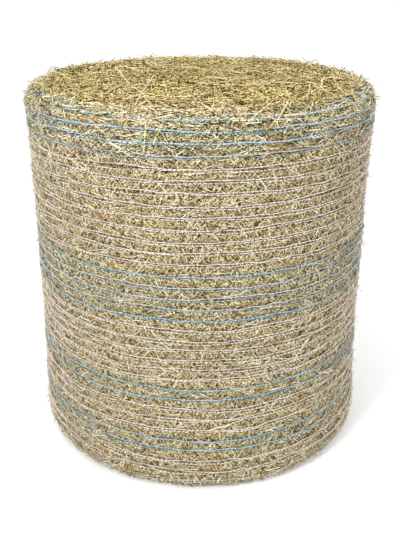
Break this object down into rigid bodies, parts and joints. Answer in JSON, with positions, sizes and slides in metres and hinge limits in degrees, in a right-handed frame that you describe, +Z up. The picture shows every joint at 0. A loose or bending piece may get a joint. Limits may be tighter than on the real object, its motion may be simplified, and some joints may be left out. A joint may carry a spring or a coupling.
{
  "type": "round hay bale",
  "caption": "Cylindrical bale of rolled hay standing on one flat end, held by the fine white and blue threads of its net wrap.",
  "frame": {"origin": "middle of the flat lower end of the bale, on the floor", "axes": "+Z up along the axis that the hay is rolled round; +X and +Y are any two directions across it"},
  "size_m": [1.161, 1.161, 1.22],
  "materials": {
    "hay": "dry loose stalks, straw yellow on the ends and khaki on the side, fully matt",
    "white_net": "thin knitted polyethylene tape, slightly pink white, faint sheen",
    "blue_net": "thin knitted polyethylene tape, sky blue, faint sheen",
    "pale_blue_net": "thin knitted polyethylene tape, greyish pale blue, faint sheen"
  },
  "bodies": {
    "root": {"hay_roll": "hay", "blue_net_thread_01": "blue_net", "blue_net_thread_02": "blue_net", "blue_net_thread_03": "blue_net", "blue_net_thread_04": "blue_net", "blue_net_thread_05": "blue_net", "blue_net_thread_06": "blue_net", "blue_net_thread_07": "blue_net", "blue_net_thread_08": "blue_net", "blue_net_thread_09": "blue_net", "blue_net_thread_10": "blue_net", "pale_blue_net_thread_01": "pale_blue_net", "pale_blue_net_thread_02": "pale_blue_net", "pale_blue_net_thread_03": "pale_blue_net", "pale_blue_net_thread_04": "pale_blue_net", "white_net_thread_01": "white_net", "white_net_thread_02": "white_net", "white_net_thread_03": "white_net", "white_net_thread_04": "white_net", "white_net_thread_05": "white_net", "white_net_thread_06": "white_net", "white_net_thread_07": "white_net", "white_net_thread_08": "white_net", "white_net_thread_09": "white_net", "white_net_thread_10": "white_net", "white_net_thread_11": "white_net", "white_net_thread_12": "white_net", "white_net_thread_13": "white_net", "white_net_thread_14": "white_net", "white_net_thread_15": "white_net", "white_net_thread_16": "white_net", "white_net_thread_17": "white_net", "white_net_thread_18": "white_net", "white_net_thread_19": "white_net", "white_net_thread_20": "white_net", "white_net_thread_21": "white_net", "white_net_thread_22": "white_net"}
  },
  "joints": []
}
